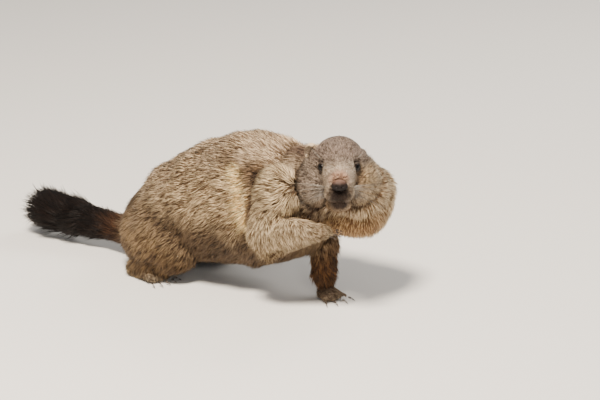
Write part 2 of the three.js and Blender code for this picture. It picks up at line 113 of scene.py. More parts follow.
# Head frame, from the eyes and the nose: forward along the face, left of the animal, and up
NOSE_BELOW_FORWARD = math.atan2(15, 43.5)
EYES = {side: middle(f"eye_{side}") for side in ("right", "left")}
EYE_RADIUS = (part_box("eye_left")[1][2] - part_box("eye_left")[0][2]) / 2
NOSE = middle("nose")
BETWEEN_EYES = (EYES["right"] + EYES["left"]) / 2
HEAD_LEFT = (EYES["left"] - EYES["right"]).normalized()
to_nose = (NOSE - BETWEEN_EYES).normalized()
HEAD_FORWARD = Matrix.Rotation(-NOSE_BELOW_FORWARD, 3, HEAD_LEFT) @ to_nose
HEAD_UP = HEAD_FORWARD.cross(HEAD_LEFT)
HEAD_AXES = np.array([HEAD_FORWARD, HEAD_LEFT, HEAD_UP])


def in_head(points):
    """Row-frame points in the head frame, in millimetres."""
    return (points - np.array(BETWEEN_EYES)) @ HEAD_AXES.T / MM


def from_head(forward, left, up):
    """A place given in the head frame, in millimetres, as a point of the row frame."""
    return BETWEEN_EYES + (HEAD_FORWARD * forward + HEAD_LEFT * left + HEAD_UP * up) * MM


def head_direction(forward, left, up):
    return (HEAD_FORWARD * forward + HEAD_LEFT * left + HEAD_UP * up).normalized()


def smooth(low, high, values):
    """0 below low, 1 above high, and a smooth step between."""
    share = np.clip((values - low) / (high - low), 0, 1)
    return share * share * (3 - 2 * share)


def away_from(place, points):
    """The distance of each point to a place."""
    return np.linalg.norm(points - np.array(place), axis=1)


def noise(points, size, seed):
    """Smooth noise, mostly between -1 and 1, with features of about the given size."""
    rng = np.random.default_rng(seed)
    waves = rng.normal(size=(8, 3))
    waves *= (rng.uniform(0.6, 1.5, 8) * 2 * math.pi / size / np.linalg.norm(waves, axis=1))[:, None]
    phases = rng.uniform(0, 2 * math.pi, 8)
    return np.sin(points @ waves.T + phases).sum(axis=1) / 2.6


# Camera and light

CAMERA_AZIMUTH = math.radians(34)
CAMERA_ELEVATION = math.radians(18)
CAMERA_DISTANCE = 3.0
CAMERA_LENS = 144
CAMERA_TARGET = BETWEEN_EYES + Vector((-80.2, 34.6, -65.7)) * MM
# The place of each light, its size, its power and its colour
LIGHTS = {
    "key": ((0.45, -1.25, 2.3), 0.6, 205, (1.0, 0.89, 0.75)),
    "fill": ((1.9, -1.7, 1.1), 0.4, 16, (1.0, 0.95, 0.9)),
    "rim": ((0.4, 1.8, 1.6), 1.2, 30, (1.0, 0.96, 0.9)),
}
ROOM_COLOUR = (0.95, 0.94, 0.93, 1)
ROOM_STRENGTH = 0.4
FLOOR_SIZE = 14
FLOOR_COLOUR = (0.72, 0.7, 0.67, 1)


def add_camera():
    flat = math.cos(CAMERA_ELEVATION)
    back = Vector((
        math.sin(CAMERA_AZIMUTH) * flat,
        -math.cos(CAMERA_AZIMUTH) * flat,
        math.sin(CAMERA_ELEVATION),
    ))
    camera = bpy.data.objects.new("camera", bpy.data.cameras.new("camera"))
    camera.data.lens = CAMERA_LENS
    camera.data.clip_end = 20
    camera.location = CAMERA_TARGET + back * CAMERA_DISTANCE
    camera.rotation_euler = (-back).to_track_quat("-Z", "Y").to_euler()
    bpy.context.scene.collection.objects.link(camera)
    bpy.context.scene.camera = camera


def add_light(name, place, size, power, colour):
    data = bpy.data.lights.new(name, "AREA")
    data.shape = "DISK"
    data.size = size
    data.energy = power
    data.color = colour
    light = bpy.data.objects.new(name, data)
    light.location = place
    light.rotation_euler = (-Vector(place)).to_track_quat("-Z", "Y").to_euler()
    bpy.context.scene.collection.objects.link(light)


def add_surroundings():
    """Soft studio light from three sides, a pale room and a pale floor."""
    for name, settings in LIGHTS.items():
        add_light(name, *settings)
    world = bpy.data.worlds.new("room")
    world.use_nodes = True
    background = world.node_tree.nodes["Background"]
    background.inputs["Color"].default_value = ROOM_COLOUR
    background.inputs["Strength"].default_value = ROOM_STRENGTH
    bpy.context.scene.world = world
    bpy.ops.mesh.primitive_plane_add(size=FLOOR_SIZE)
    floor = bpy.context.object
    floor.name = "floor"
    material = bpy.data.materials.new("floor")
    material.use_nodes = True
    shader = material.node_tree.nodes["Principled BSDF"]
    shader.inputs["Base Color"].default_value = FLOOR_COLOUR
    shader.inputs["Roughness"].default_value = 0.9
    floor.data.materials.append(material)


# Distance fields of the solids, on one grid of voxels

GRID_LOW = np.floor((np.array(cad_box[0]) - MARGIN) / VOXEL).astype(int)
GRID_SHAPE = np.ceil((np.array(cad_box[1]) + MARGIN) / VOXEL).astype(int) - GRID_LOW


def corners_and_triangles(obj):
    mesh = obj.data
    mesh.calc_loop_triangles()
    points = np.empty(len(mesh.vertices) * 3, np.float32)
    mesh.vertices.foreach_get("co", points)
    triangles = np.empty(len(mesh.loop_triangles) * 3, np.int32)
    mesh.loop_triangles.foreach_get("vertices", triangles)
    matrix = np.array(obj.matrix_world)
    points = points.reshape(-1, 3) @ matrix[:3, :3].T + matrix[:3, 3]
    return points.astype(np.float32), triangles.reshape(-1, 3)


def distance_field(points, triangles=None, quads=None):
    """Signed distance to a closed surface, as an array and the grid index of its first voxel."""
    grid = openvdb.FloatGrid.createLevelSetFromPolygons(
        points,
        triangles=triangles,
        quads=quads,
        transform=openvdb.createLinearTransform(voxelSize=VOXEL),
        halfWidth=BAND,
    )
    low, high = (np.array(corner) for corner in grid.evalActiveVoxelBoundingBox())
    array = np.empty(high - low + 1, dtype=np.float32)
    grid.copyToArray(array, ijk=tuple(int(i) for i in low))
    return array, low


def on_grid(array, low):
    """The part of an array that lies on the common grid, and where it lies there."""
    start = np.maximum(low - GRID_LOW, 0)
    stop = np.minimum(low - GRID_LOW + array.shape, GRID_SHAPE)
    here = tuple(slice(a, b) for a, b in zip(start, stop))
    offset = start - (low - GRID_LOW)
    there = tuple(slice(a, a + b) for a, b in zip(offset, stop - start))
    return array[there], here


def surface_of(array, level=0.0):
    """The outer closed surface of a field on the common grid, as points and quads facing outwards."""
    grid = openvdb.FloatGrid(float(BAND * VOXEL))
    grid.copyFromArray(np.ascontiguousarray(array, dtype=np.float32), ijk=tuple(int(i) for i in GRID_LOW))
    grid.transform = openvdb.createLinearTransform(voxelSize=VOXEL)
    points, quads = grid.convertToQuads(isovalue=level)
    labels = np.arange(len(points))
    while True:
        lowest = labels[quads].min(axis=1)
        spread = labels.copy()
        np.minimum.at(spread, quads.ravel(), np.repeat(lowest, 4))
        spread = spread[spread]
        if np.array_equal(spread, labels):
            break
        labels = spread
    outer = labels == np.bincount(labels).argmax()
    quads = quads[outer[quads[:, 0]]]
    number = np.cumsum(outer) - 1
    points, quads = points[outer], number[quads]
    a, b, c = (points[quads[:, i]] for i in range(3))
    if np.einsum("ij,ij->i", a, np.cross(b, c)).sum() < 0:
        quads = quads[:, ::-1]
    return points.astype(np.float32), np.ascontiguousarray(quads.astype(np.int32))


def blurred(array, steps):
    """The array after short blurs along each axis, each reaching a number of voxels to both sides."""
    out = array.copy()
    for step in steps:
        for axis in range(3):
            ahead = np.roll(out, step, axis)
            behind = np.roll(out, -step, axis)
            out = out * 0.5 + (ahead + behind) * 0.25
    return out


def sampled(field, points):
    """A field's values at points, between its voxels, and the far value outside it."""
    array, low = field
    place = points / VOXEL - low
    cell = np.floor(place).astype(int)
    share = place - cell
    inside = np.all((cell >= 0) & (cell < np.array(array.shape) - 1), axis=1)
    values = np.full(len(points), BAND * VOXEL)
    cell, share = cell[inside], share[inside]
    total = np.zeros(len(cell))
    for corner in np.ndindex(2, 2, 2):
        weight = np.prod(np.where(corner, share, 1 - share), axis=1)
        total += weight * array[tuple((cell + corner).T)]
    values[inside] = total
    return values


class Fields:
    """The distance field of every node of flesh, and of their union."""

    def __init__(self):
        self.nodes = {name: distance_field(*corners_and_triangles(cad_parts[name])) for name in FLESH}
        self.union = np.full(GRID_SHAPE, BAND * VOXEL, np.float32)
        total = np.full(GRID_SHAPE, 1e-9, np.float32)
        depth = np.zeros(GRID_SHAPE, np.float32)
        fine = np.zeros(GRID_SHAPE, np.float32)
        broad = np.zeros(GRID_SHAPE, np.float32)
        for name, field in self.nodes.items():
            near, here = on_grid(*field)
            self.union[here] = np.minimum(self.union[here], near)
            weight = np.exp(-near / (4 * MM))
            total[here] += weight
            depth[here] += weight * COAT[name]["depth"] * MM
            if name == "head":
                front = smooth(-30, -8, in_head(grid_points(here))[:, 0]).reshape(weight.shape)
                fine[here] += weight * front
                broad[here] += weight * (1 - front)
            elif name in FINE_NODES:
                fine[here] += weight
            elif name in BROAD_NODES:
                broad[here] += weight
        self.depth = depth / total
        self.fine = fine / total
        self.broad = broad / total

    def weights(self, points, softness=3 * MM):
        """How much each node shapes the coat at each point: rows of shares that add up to 1."""
        near = np.stack([sampled(self.nodes[name], points) for name in FLESH], axis=1)
        out_of_reach = near > 0.98 * BAND * VOXEL
        near -= near.min(axis=1, keepdims=True)
        weight = np.where(out_of_reach & (near > 0), 0, np.exp(-near / softness))
        return weight / weight.sum(axis=1, keepdims=True)


def cells_between(low, high, margin=0):
    """The part of the common grid between two places, and a margin of voxels round it."""
    start = np.maximum(np.floor(np.array(low) / VOXEL).astype(int) - GRID_LOW - margin, 0)
    stop = np.minimum(np.ceil(np.array(high) / VOXEL).astype(int) - GRID_LOW + margin, GRID_SHAPE)
    return tuple(slice(a, b) for a, b in zip(start, stop))


HEAD_MARGIN = 8


def head_box():
    return cells_between(*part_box("head"), HEAD_MARGIN)


def grid_points(box):
    axes = [np.arange(part.start, part.stop) + GRID_LOW[i] for i, part in enumerate(box)]
    return np.stack(np.meshgrid(*axes, indexing="ij"), axis=-1).reshape(-1, 3) * VOXEL


def carve_face(fields, skin):
    """The line of the mouth, the split under the nose and the seat of each eye."""
    box = head_box()
    points = grid_points(box)
    face = in_head(points)
    values = skin[box].ravel()
    jaw = sampled(fields.nodes["lower_jaw"], points)
    head = sampled(fields.nodes["head"], points)
    mouth = np.exp(-(((jaw - head) / (1.1 * MM)) ** 2)) * smooth(4 * MM, 1 * MM, np.abs(jaw + head) / 2)
    values += mouth * 2.2 * MM
    split = np.exp(-((face[:, 1] / 1.1) ** 2)) * smooth(34, 38, face[:, 0]) * smooth(-14, -20, face[:, 2])
    values += split * 1.6 * MM
    for eye in EYES.values():
        from_eye = away_from(eye, points)
        values = np.maximum(values, (EYE_RADIUS - 0.2 * MM) - from_eye)
    skin[box] = values.reshape(skin[box].shape)


TAIL_RADIUS = 7.5 * MM
TAIL_ROOT_HEIGHT = 28 * MM
TAIL_BRUSH = 26 * MM
TAIL_TIP_BRUSH = 46 * MM


def rod_distance(points, start, end):
    """The distance of points to the line between two places."""
    share = np.clip((points - start) @ (end - start) / np.dot(end - start, end - start), 0, 1)
    return np.linalg.norm(points - start - share[:, None] * (end - start), axis=1)


def tail_core():
    """The distance to the bare tail, a slim rod inside its brush, and where it lies on the common grid."""
    low, high = (np.array(corner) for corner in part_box("tail"))
    root = np.array([high[0] + TAIL_BRUSH, 0, TAIL_ROOT_HEIGHT])
    tip = np.array([low[0] + TAIL_TIP_BRUSH, (low[1] + high[1]) / 2, (low[2] + high[2]) / 2 - 1 * MM])
    box = cells_between(low - TAIL_BRUSH, high + TAIL_BRUSH * 2)
    distance = rod_distance(grid_points(box), root, tip) - TAIL_RADIUS
    return distance.reshape([part.stop - part.start for part in box]), box


NAPE_RISE = 7 * MM
EYE_EASE = 2.2 * MM
EYE_EASE_REACH = 11 * MM
EAR_DIP = 4 * MM
EAR_DIP_REACH = 17 * MM
EAR_DEPTH = 0.3 * MM
EAR_ROOT = 4 * MM
EAR_ROOT_START = 6 * MM
EAR_ROOT_END = 19 * MM


def coat_depth(fields):
    """How far inside the solids the skin lies: less at the eyes, and more round the ears."""
    depth = fields.depth + GAP_CLOSED
    box = head_box()
    places = grid_points(box)
    for eye in EYES.values():
        from_eye = away_from(eye, places)
        ease = EYE_EASE * np.exp(-((from_eye / EYE_EASE_REACH) ** 2))
        depth[box] -= ease.reshape(depth[box].shape)
    for name in EARS:
        from_ear = away_from(middle(name), places)
        dip = EAR_DIP * np.exp(-((from_ear / EAR_DIP_REACH) ** 2))
        depth[box] += dip.reshape(depth[box].shape)
    return depth


def set_ears(fields, skin):
    """Puts the thin ears back on the blurred skin, each on a short root that joins it to the head."""
    for name in EARS:
        ear, here = on_grid(*fields.nodes[name])
        skin[here] = np.minimum(skin[here], ear + EAR_DEPTH)
        base = np.array(middle(name))
        side = 1 if name == "ear_right" else -1
        inward = np.array(HEAD_LEFT) * side - np.array(HEAD_UP) * 0.4
        root = rod_distance(grid_points(here), base + inward * EAR_ROOT_START, base + inward * EAR_ROOT_END)
        skin[here] = np.minimum(skin[here], (root - EAR_ROOT).reshape(skin[here].shape))


def nape_rise():
    """How much further out the skin lies on the shoulders and the nape, for each voxel."""
    along = (np.arange(GRID_SHAPE[0]) + GRID_LOW[0]) * VOXEL
    up = (np.arange(GRID_SHAPE[2]) + GRID_LOW[2]) * VOXEL
    share_along = smooth(15 * MM, 95 * MM, along) * smooth(205 * MM, 160 * MM, along)
    share_up = smooth(130 * MM, 175 * MM, up)
    return (NAPE_RISE * share_along[:, None, None] * share_up[None, None, :]).astype(np.float32)


def skin_surface(fields):
    """The skin: the solids as one body, moved in by the depth of the coat and rounded."""
    points, quads = surface_of(fields.union, GAP_CLOSED)
    solid, here = on_grid(*distance_field(points, quads=quads))
    body = np.full(GRID_SHAPE, BAND * VOXEL, np.float32)
    body[here] = solid
    moved = body + coat_depth(fields) - nape_rise() * (1 - fields.fine)
    tail, box = tail_core()
    moved[box] = np.minimum(moved[box], tail)
    crisp = blurred(moved, (1, 1, 1))
    soft = blurred(crisp, (2, 2, 1))
    broad = blurred(soft, (3, 4, 3))
    skin = soft + (broad - soft) * smooth(0.4, 0.9, fields.broad)
    skin += (crisp - soft) * smooth(0.3, 0.8, fields.fine)
    set_ears(fields, skin)
    carve_face(fields, skin)
    return surface_of(skin)


def mesh_object(name, points, faces):
    mesh = bpy.data.meshes.new(name)
    mesh.from_pydata(points, [], faces)
    mesh.update()
    mesh.polygons.foreach_set("use_smooth", [True] * len(mesh.polygons))
    obj = bpy.data.objects.new(name, mesh)
    bpy.context.scene.collection.objects.link(obj)
    return obj


# Colours, marks, and painted light and shade, the same for skin and coat


def colour(code):
    """A colour code such as a paint chart gives, in linear light."""
    values = np.array([int(code[i:i + 2], 16) for i in (0, 2, 4)]) / 255
    return np.where(values <= 0.04045, values / 12.92, ((values + 0.055) / 1.055) ** 2.4)


MARKING_BLEND = 7 * MM
# Pale tips and deep underlayer of the coat of each region
REGIONS = {
    "torso": ("trunk", "f3d6ab", "4d3620"),
    "right_thigh": ("trunk", "cfac7d", "3a281a"),
    "left_thigh": ("trunk", "cfac7d", "3a281a"),
    "right_shank": ("hind_legs", "a1865f", "35261a"),
    "left_shank": ("hind_legs", "a1865f", "35261a"),
    "right_hindfoot": ("hind_legs", "b3a48d", "4b3d2f"),
    "left_hindfoot": ("hind_legs", "b3a48d", "4b3d2f"),
    "tail": ("tail", "21150f", "0a0605"),
    "neck": ("neck", "ecd2ab", "4f3a27"),
    "right_upper_arm": ("right_foreleg", "f3dab0", "4d3621"),
    # The raised forearm's very pale tips are partly painted light on its top.
    "right_forearm": ("right_foreleg", "fbe4be", "644a31"),
    "right_forepaw": ("right_foreleg", "cdb795", "5b4632"),
    # The left foreleg's brown is darkened further as painted shade, where it stands in shadow.
    "left_upper_arm": ("left_foreleg", "96714a", "3a2516"),
    "left_forearm": ("left_foreleg", "74502f", "2c1b10"),
    "left_forefoot": ("left_foreleg", "a08c74", "44362a"),
    "head": ("head", "bda995", "362a23"),
    "lower_jaw": ("head", "b89d78", "4a3829"),
    "ear_right": ("head", "e3cfae", "7b634b"),
    "ear_left": ("head", "e3cfae", "7b634b"),
}


def blend(base, other, share):
    return base + (np.asarray(other) - base) * share[:, None]


def spot(points, centre, radii):
    """1 at a centre given in the head frame, fading to 0 at about the radii."""
    return np.exp(-(((points - np.array(centre)) / np.array(radii)) ** 2).sum(axis=1))


# Marks on the right side: a line of places in millimetres, its radius, pale, deep and strength. They are the
# dark fold behind the shoulder, painted shade, then the dark stripe ahead of the yellow one, the yellow one,
# and the dark nape
SIDE_MARKS_AND_FOLD_SHADE = [
    # Painted shade in the fold behind the shoulder
    (((92, -38, 168), (133, -42, 160)), 10, "8a6b50", "281a10", 1.15),
    (((141, -47, 168), (142, -56, 148), (146, -62, 120)), 9, "8a6a4b", "281a10", 1.3),
    (((108, -49, 162), (119, -60, 144), (127, -68, 106)), 8, "fff0b8", "deb67a", 1.4),
    (((182, -7, 178), (156, 4, 184)), 14, "8c7160", "2a1e17", 1.1),
]


def stroke(points, line, radius):
    """1 on a line through given places, fading to 0 at about the radius."""
    nearest_yet = np.full(len(points), np.inf)
    for start, end in zip(line, line[1:]):
        nearest_yet = np.minimum(nearest_yet, rod_distance(points, np.array(start), np.array(end)))
    return np.exp(-((nearest_yet / radius) ** 2))


class Paint:
    """The pale tips and the deep underlayer of the coat at points on the skin, laid on in turn."""

    def __init__(self, points, normals, weights):
        self.points = points
        self.normals = normals
        self.share = {name: weights[:, i] for i, name in enumerate(FLESH)}
        self.face = in_head(points)
        self.wander = noise(points, 45 * MM, 3)
        self.pale = weights @ np.array([colour(REGIONS[name][1]) for name in FLESH])
        self.deep = weights @ np.array([colour(REGIONS[name][2]) for name in FLESH])

    def lay(self, share, pale, deep, pale_most=1.0, deep_most=1.0):
        """Blends towards two colour codes, by a share that is held to the most for tips and underlayer."""
        self.pale = blend(self.pale, colour(pale), np.clip(share, 0, pale_most))
        self.deep = blend(self.deep, colour(deep), np.clip(share, 0, deep_most))

    def wash(self, share, pale, deep, pale_part, deep_part):
        """Blends towards two colour codes, by a part of the share for the tips and for the underlayer."""
        self.pale = blend(self.pale, colour(pale), share * pale_part)
        self.deep = blend(self.deep, colour(deep), share * deep_part)


def paint_body(paint):
    """Painted light on top and on the neck's far side, painted shade low down, the marks of the right side,
    the throat.
    """
    share, face, wander = paint.share, paint.face, paint.wander
    trunk = share["torso"] + share["right_thigh"] + share["left_thigh"]
    height = paint.points[:, 2] / MM
    # Painted light: the upward-facing top of the trunk and neck is paler, where the light falls on it.
    lit_top = smooth(0.35, 0.95, paint.normals[:, 2] + wander * 0.12) * (trunk + share["neck"])
    paint.wash(lit_top, "f3d9b8", "6a533e", 0.8, 0.7)
    # Painted shade low on the trunk and the thighs, partly also their darker fur there.
    shaded_belly = smooth(120, 82, height + wander * 6) * share["torso"]
    shaded_belly += smooth(72, 30, height + wander * 5) * (trunk - share["torso"])
    paint.wash(shaded_belly, "5f442b", "1c120b", 0.85, 0.85)
    drift = paint.points / MM + wander[:, None] * 2
    for line, radius, pale, deep, strength in SIDE_MARKS_AND_FOLD_SHADE:
        paint.lay(stroke(drift, line, radius) * strength, pale, deep, 0.92, 0.92)
    # Painted light: the neck's far side, on the animal's left, is paler as the lit side.
    lit_far_neck = share["neck"] * smooth(-10, 25, face[:, 1])
    paint.wash(lit_far_neck, "fdeac6", "80603c", 0.85, 0.5)
    throat = smooth(-38, -70, face[:, 2]) * smooth(-60, -20, face[:, 0])
    paint.wash(throat * (share["neck"] + share["lower_jaw"]), "c99a5b", "5c3a1e", 0.8, 0.7)


def paint_ears(paint):
    """A pale rim and a dark cup."""
    for name in EARS:
        share = paint.share[name]
        from_ear = away_from(middle(name), paint.points) / MM
        rim = smooth(5, 8, from_ear) * smooth(0.35, 0.6, share)
        paint.wash(rim, "fff0d4", "d2b794", 1, 1)
        facing = smooth(0.0, 0.5, paint.normals @ np.array(HEAD_FORWARD))
        paint.wash(facing * smooth(8, 5.5, from_ear) * share, "3d2d24", "1e1511", 0.9, 0.9)


def paint_head(paint):
    """Dark crown, cream between the eyes, dark nose and lips, and pale round the muzzle."""
    face = paint.face
    on_head = paint.share["head"] + paint.share["lower_jaw"]
    paint.wash(smooth(2, 15, face[:, 2]) * on_head, "b7a191", "382b24", 0.85, 0.8)
    cream = spot(face, (14, 0, -2), (18, 17, 7)) + spot(face, (27, 0, -8), (13, 17, 9)) * 0.8
    paint.lay(cream * on_head, "f6e9d4", "a58d75", 0.95, 0.85)
    bridge = spot(face, (38, 0, -7), (9, 10, 6)) * on_head
    paint.lay(bridge * 1.2, "c8a389", "7d5d49", 0.9, 0.9)
    round_nose = spot(face, (46, 0, -25), (12, 11, 10)) * on_head
    paint.lay(round_nose * 1.7, "33241d", "150e0c", 0.95, 0.95)
    paint_ears(paint)
    ring = sum(spot(face, (36, side * 16, -18), (12, 5, 12)) for side in (-1, 1))
    paint.lay(ring * on_head, "f0dcbc", "8f765c", 0.9, 0.8)
    # Painted light on the left cheek, the far side: golden tips and a paler wash.
    lit_cheek_patch = spot(face, (4, 27, -15), (14, 10, 9)) * on_head
    paint.lay(lit_cheek_patch, "b58a58", "000000", 0.8, 0)
    lit_left_cheek = smooth(14, 32, face[:, 1]) * smooth(8, -12, face[:, 2]) * on_head
    paint.wash(lit_left_cheek, "f0d6a8", "5f452c", 0.7, 0.7)
    around_eye = sum(spot(face, (2, side * 22, 0), (6, 7, 6)) for side in (-1, 1))
    paint.lay(around_eye * on_head, "7d6858", "30251f", 0.6, 0.7)
    lips = spot(face, (34, 0, -37), (16, 13, 5.5)) * on_head
    paint.lay(lips * 1.1, "3c2b23", "1c1310", 0.9, 0.9)


def paint_tail_and_arm(paint):
    """The browner root of the tail, and painted shade on the underside of the raised arm."""
    low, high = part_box("tail")
    along = (paint.points[:, 0] - low[0]) / (high[0] - low[0])
    paint.wash(smooth(0.7, 1.05, along) * paint.share["tail"], "7d563a", "2e1b11", 0.8, 0.8)
    # Painted shade: darker below the middle of the raised arm.
    arm_middle = np.array(middle("right_forearm"))[2] / MM
    under = smooth(arm_middle + 12, arm_middle - 20, paint.points[:, 2] / MM)
    arm = paint.share["right_forearm"] + paint.share["right_upper_arm"]
    paint.wash(arm * under, "a98857", "3a2818", 0.8, 0.8)


def colours_and_painted_light(points, normals, weights):
    """Pale tips and deep underlayer of the coat at points on the skin, painted light and shade included."""
    paint = Paint(points, normals, weights)
    paint_body(paint)
    paint_head(paint)
    paint_tail_and_arm(paint)
    return paint.pale, paint.deep


# The lie of the coat

TRUNK_TOP = cad_box[1][2] / MM
LIMB_LIE = {
    "right_upper_arm": (-0.45, -0.05, -1),
    "left_upper_arm": (-0.1, 0.1, -1),
    "right_forearm": (0.55, -0.05, -0.7),
    "left_forearm": (0.25, 0, -1),
    "right_thigh": (-0.75, 0, -0.9),
    "left_thigh": (-0.75, 0, -0.9),
    "right_shank": (-0.4, 0, -1),
    "left_shank": (-0.4, 0, -1),
    "right_forepaw": (1, 0.2, -0.3),
    "left_forefoot": (1, -0.3, -0.35),
    "right_hindfoot": (1, -0.15, -0.3),
    "left_hindfoot": (1, 0.15, -0.3),
    "tail": (-1, 0, 0.1),
}


def unit(vectors):
    return vectors / np.maximum(np.linalg.norm(vectors, axis=-1, keepdims=True), 1e-9)


def lie_of_coat(points, normals, weights):
    """The way tufts point along the skin: away from the nose, back over the trunk and down the limbs."""
    away = unit(points - np.array(NOSE))
    forward = np.array(HEAD_FORWARD)
    round_head = unit(away - forward * (away @ forward)[:, None])
    droop = 0.22 + 1.5 * (1 - np.clip(points[:, 2] / MM / TRUNK_TOP, 0, 1)) ** 1.6
    back = unit(np.stack([-np.ones(len(points)), np.zeros(len(points)), -droop], axis=1))
    shoulder_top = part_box("right_upper_arm")[1][2]
    high = smooth(shoulder_top - 70 * MM, shoulder_top - 15 * MM, points[:, 2])
    rules = {
        "torso": back,
        "neck": unit(round_head * 0.8 + back * 0.6),
        "head": unit(away - forward * 0.5),
        "lower_jaw": unit(away - forward * 0.4),
        "ear_right": unit(away + np.array(HEAD_UP) * 1.2),
        "ear_left": unit(away + np.array(HEAD_UP) * 1.2),
    }
    for name in ("right_upper_arm", "left_upper_arm"):
        rules[name] = unit(blend(np.tile(unit(np.array(LIMB_LIE[name])), (len(points), 1)), back, high))
    lie = np.zeros_like(points)
    for i, name in enumerate(FLESH):
        rule = rules.get(name)
        if rule is None:
            rule = unit(np.array(LIMB_LIE[name]))[None, :]
        lie += weights[:, i:i + 1] * rule
    lie -= normals * np.einsum("ij,ij->i", lie, normals)[:, None]
    lie = unit(lie)
    swirl = noise(points, 38 * MM, 5) * 0.22 + noise(points, 14 * MM, 6) * 0.13
    across = np.cross(normals, lie)
    return unit(lie * np.cos(swirl)[:, None] + across * np.sin(swirl)[:, None])


# The coat

COAT_TUFTS = 235000
CLUMPS = 62000
CLUMP_PULL = 0.6
PIECE_TUFTS = 33000
ROOT_SINK = 0.8 * MM
PATCH = 0.003
# The room the coat has: a little over the solids' box, and clear of the ground
BOX_LOW = np.array(cad_box[0]) + np.array((-8, -8, 0.8)) * MM
BOX_HIGH = np.array(cad_box[1]) + np.array((16, 8, 5)) * MM


def roots_on_skin(skin_points, skin_quads, normals, density, count, rng):
    """Random places on the skin, as points and normals, thicker where the density is higher."""
    triangles = np.concatenate([skin_quads[:, [0, 1, 2]], skin_quads[:, [0, 2, 3]]])
    a, b, c = (skin_points[triangles[:, i]] for i in range(3))
    area = np.linalg.norm(np.cross(b - a, c - a), axis=1)
    wanted = area * density[triangles].mean(axis=1)
    chosen = rng.choice(len(triangles), size=count, p=wanted / wanted.sum())
    shares = rng.dirichlet((1, 1, 1), size=count)
    corners = triangles[chosen]
    points = np.einsum("ij,ijk->ik", shares, skin_points[corners])
    return points, unit(np.einsum("ij,ijk->ik", shares, normals[corners]))


def table_of(key):
    return np.array([COAT[name][key] for name in FLESH])


def nearest(centres, points):
    tree = kdtree.KDTree(len(centres))
    for i, centre in enumerate(centres):
        tree.insert(centre, i)
    tree.balance()
    return np.array([tree.find(point)[1] for point in points])


def size_by_place(points, weights, from_head):
    """How much longer tufts are on the head's rear and under the raised arm, and shorter in other places."""
    face = in_head(points)
    on_head = weights[:, FLESH.index("head")] + weights[:, FLESH.index("lower_jaw")]
    low_or_rear = np.maximum(smooth(20, -4, face[:, 2]), smooth(-36, -52, face[:, 0]))
    size = 1 + on_head * smooth(6, -26, face[:, 0]) * low_or_rear * 2.1
    size *= 1 - 0.45 * weights[:, FLESH.index("neck")] * smooth(26 * MM, 4 * MM, from_head)
    low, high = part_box("tail")
    toward_root = smooth(low[0] + 70 * MM, high[0], points[:, 0])
    size *= 1 - 0.4 * weights[:, FLESH.index("tail")] * toward_root
    arm = weights[:, FLESH.index("right_forearm")] + weights[:, FLESH.index("right_upper_arm")] * 0.4
    arm_middle = middle("right_forearm")[2]
    size *= 1 + 0.8 * arm * smooth(arm_middle, arm_middle - 20 * MM, points[:, 2])
    for eye in EYES.values():
        from_eye = away_from(eye, points)
        size *= 0.45 + 0.55 * smooth(EYE_RADIUS, EYE_RADIUS + 9 * MM, from_eye)
    for name in EARS:
        from_ear = away_from(middle(name), points)
        size *= 0.35 + 0.65 * smooth(12 * MM, 26 * MM, from_ear)
    return size


def tuft_paths(points, normals, fields, rng):
    """Root, middle and tip of each tuft, its width and its tone from 0 to 1."""
    count = len(points)
    weights = fields.weights(points)
    lie = lie_of_coat(points, normals, fields.weights(points, 9 * MM))
    stray = rng.normal(0, 0.15, count)
    across = np.cross(normals, lie)
    lie = unit(lie + across * stray[:, None])
    size = size_by_place(points, weights, sampled(fields.nodes["head"], points))
    length = weights @ table_of("length") * MM * rng.uniform(0.75, 1.2, count) * size
    height = weights @ table_of("height") * MM * rng.uniform(0.55, 1.04, count) * size
    height *= 1 + noise(points, 30 * MM, 8) * 0.05
    width = weights @ table_of("width") * MM * rng.uniform(0.7, 1.3, count) * np.sqrt(size)
    root = points - normals * ROOT_SINK
    reach = np.sqrt(np.maximum(length ** 2 - height ** 2, (0.3 * length) ** 2))
    centre = rng.choice(count, CLUMPS, replace=False)
    owner = centre[nearest(points[centre], points)]
    free_tip = points + lie * reach[:, None] + normals * height[:, None]
    pull = CLUMP_PULL * rng.uniform(0.5, 1.3, count)
    apart = points[owner] - points
    apart -= normals * np.einsum("ij,ij->i", apart, normals)[:, None]
    tip = free_tip + apart * pull[:, None]
    bend = lie * (reach * 0.42)[:, None] + normals * (height * 0.78)[:, None]
    mid = points + bend + apart * (pull * 0.35)[:, None]
    clump_tone = rng.uniform(0, 1, count)[owner]
    tone = rng.uniform(0, 1, count) * 0.45 + clump_tone * 0.55
    for part in (root, mid, tip):
        part[:] = np.clip(part, BOX_LOW, BOX_HIGH)
    return {"root": root, "mid": mid, "tip": tip, "width": width, "tone": tone, "normal": normals}


def around_piece(points):
    """A cylinder unwrap of a region of the skin: the angle round its long axis and the place along it."""
    centred = points - points.mean(axis=0)
    axes = np.linalg.svd(centred[:: max(1, len(points) // 2000)], full_matrices=False)[2]
    along = centred @ axes[0]
    angle = np.arctan2(centred @ axes[2], centred @ axes[1])
    u = (angle / (2 * math.pi) + 0.5) * 0.98 + 0.01
    v = (along - along.min()) / max(along.max() - along.min(), 1e-6) * 0.98 + 0.01
    return np.stack([u, v], axis=1)


# One tuft: a point at the root, a triangle at the middle and a point at the tip
TUFT_FACES = [(0, 2, 1), (0, 3, 2), (0, 1, 3), (1, 2, 4), (2, 3, 4), (3, 1, 4)]
TUFT_ALONG = np.array([0, 0.5, 0.5, 0.5, 1])
TUFT_PATCH = np.array([(0.5, 0), (0, 0.5), (1, 0.5), (0.5, 0.7), (0.5, 1)]) * PATCH


